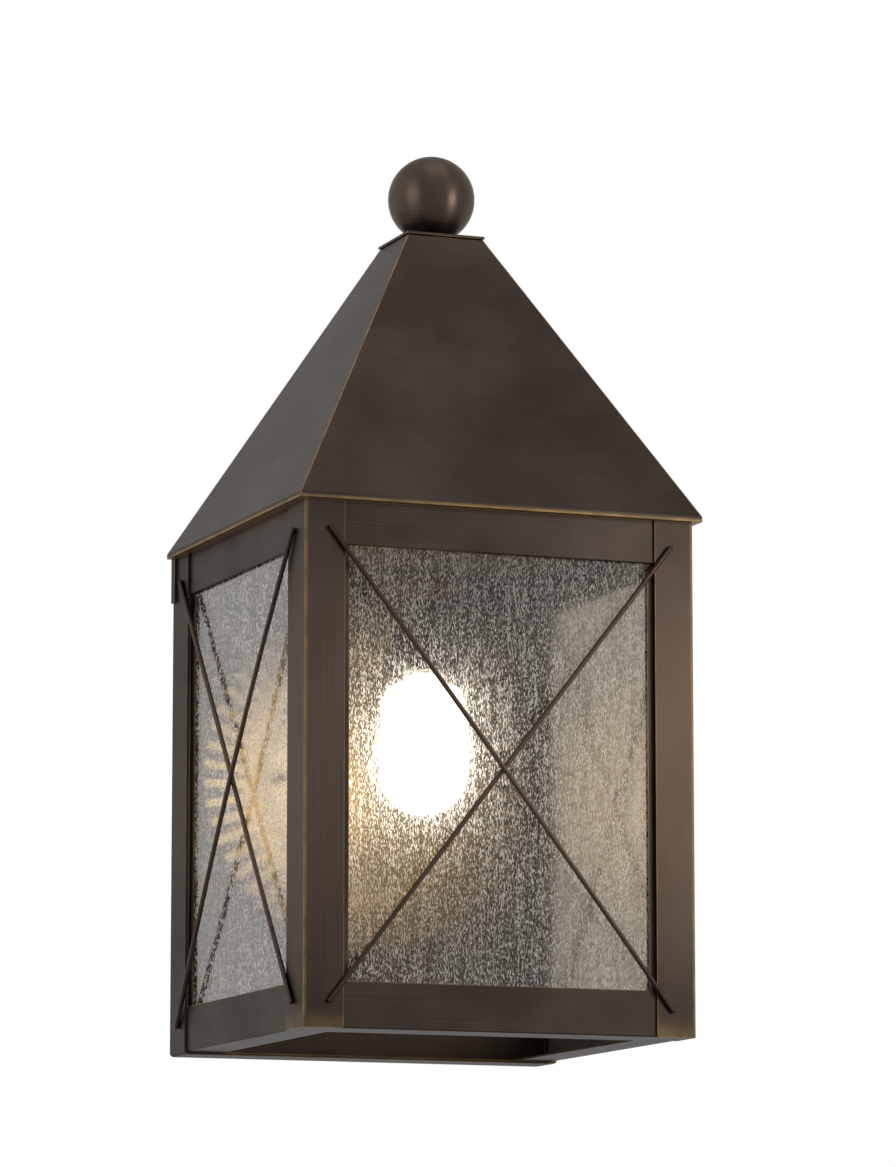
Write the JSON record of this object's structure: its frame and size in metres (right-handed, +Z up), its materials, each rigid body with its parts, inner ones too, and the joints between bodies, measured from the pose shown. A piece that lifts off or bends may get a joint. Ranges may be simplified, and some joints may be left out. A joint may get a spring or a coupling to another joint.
{
  "type": "wall sconce",
  "caption": "Square lantern wall sconce: pyramid roof with ball finial, seeded glass panes under crossed rods, open bottom and a hanging lamp before a fluted round reflector.",
  "frame": {"origin": "centre of the junction box pattern on the wall, behind the middle of the reflector", "axes": "+Z up, +Y into the wall, the glazed front faces -Y, +X to the right seen from the front"},
  "size_m": [0.266, 0.258, 0.5673],
  "materials": {
    "bronze": "dark bronze, hand-rubbed, with golden edges",
    "channel_metal": "satin bronze",
    "pane_glass": "clear, seeded with fine upright streaks",
    "lampholder_metal": "satin",
    "phenolic": "moulded",
    "contact_brass": "bright",
    "lamp_glass": "frosted, lit",
    "lamp_cap_metal": "bright",
    "black_glass": "gloss",
    "clear_glass": "clear",
    "tungsten": "glowing",
    "reflector_brass": "satin, worn",
    "zinc_steel": "zinc plated",
    "ground_green": "gloss",
    "wire_black": "sheath",
    "wire_white": "sheath"
  },
  "bodies": {
    "housing": {"corner_post_left": "bronze", "corner_post_right": "bronze", "top_rail_front": "bronze", "top_rail_left": "bronze", "top_rail_right": "bronze", "bottom_rail_front": "bronze", "bottom_rail_left": "bronze", "bottom_rail_right": "bronze", "bottom_ring": "bronze", "rear_frame": "bronze", "rear_top_rail": "bronze", "back_plate": "bronze", "ceiling_plate": "bronze", "roof_front": "bronze", "roof_left": "bronze", "roof_right": "bronze", "roof_rear": "bronze", "roof_crown": "bronze", "cap_plate": "bronze", "rod_front_over": "bronze", "rod_front_under": "bronze", "rod_left_over": "bronze", "rod_left_under": "bronze", "rod_right_over": "bronze", "rod_right_under": "bronze", "channel_front_left": "channel_metal", "channel_front_right": "channel_metal", "channel_left_front": "channel_metal", "channel_left_rear": "channel_metal", "channel_right_front": "channel_metal", "channel_right_rear": "channel_metal", "glass_front": "pane_glass", "glass_left": "pane_glass", "glass_right": "pane_glass", "socket_canopy": "lampholder_metal", "socket_cap": "lampholder_metal", "socket_nipple": "lampholder_metal", "socket_locknuts": "lampholder_metal", "cap_nuts": "lampholder_metal", "socket_body": "phenolic", "socket_screw_shell": "contact_brass", "socket_contact": "contact_brass", "reflector": "reflector_brass", "wall_strap": "zinc_steel", "mount_screws": "zinc_steel", "finial_nut": "zinc_steel", "finial_washer": "zinc_steel", "ground_screw": "ground_green", "ground_wire": "ground_green", "lead_black": "wire_black", "lead_white": "wire_white"},
    "lamp_travel": {"bulb_tip": "contact_brass"},
    "lamp": {"bulb_globe": "lamp_glass", "bulb_screw_cap": "lamp_cap_metal", "bulb_insulator": "black_glass", "bulb_stem": "clear_glass", "bulb_filament": "tungsten"},
    "finial_travel": {"finial_stud": "zinc_steel"},
    "finial": {"finial_ball": "bronze"}
  },
  "joints": [
    {"name": "lamp_unscrew_travel", "type": "slide", "parent": "housing", "child": "lamp_travel", "axis": [0, 0, -1], "range_m": [0, 0.01814]},
    {"name": "lamp_turn", "type": "hinge", "parent": "lamp_travel", "child": "lamp", "pos_m": [0, -0.118, 0], "axis": [0, 0, -1], "range_deg": [0, 1800]},
    {"name": "finial_unscrew_travel", "type": "slide", "parent": "housing", "child": "finial_travel", "axis": [0, 0, 1], "range_m": [0, 0.01]},
    {"name": "finial_turn", "type": "hinge", "parent": "finial_travel", "child": "finial", "pos_m": [0, -0.132, 0], "axis": [0, 0, 1], "range_deg": [0, 3600]}
  ],
  "couplings": [
    {"joint": "lamp_unscrew_travel", "follows": "lamp_turn", "m_per_rad": 0.00057751},
    {"joint": "finial_unscrew_travel", "follows": "finial_turn", "m_per_rad": 0.00015915}
  ]
}
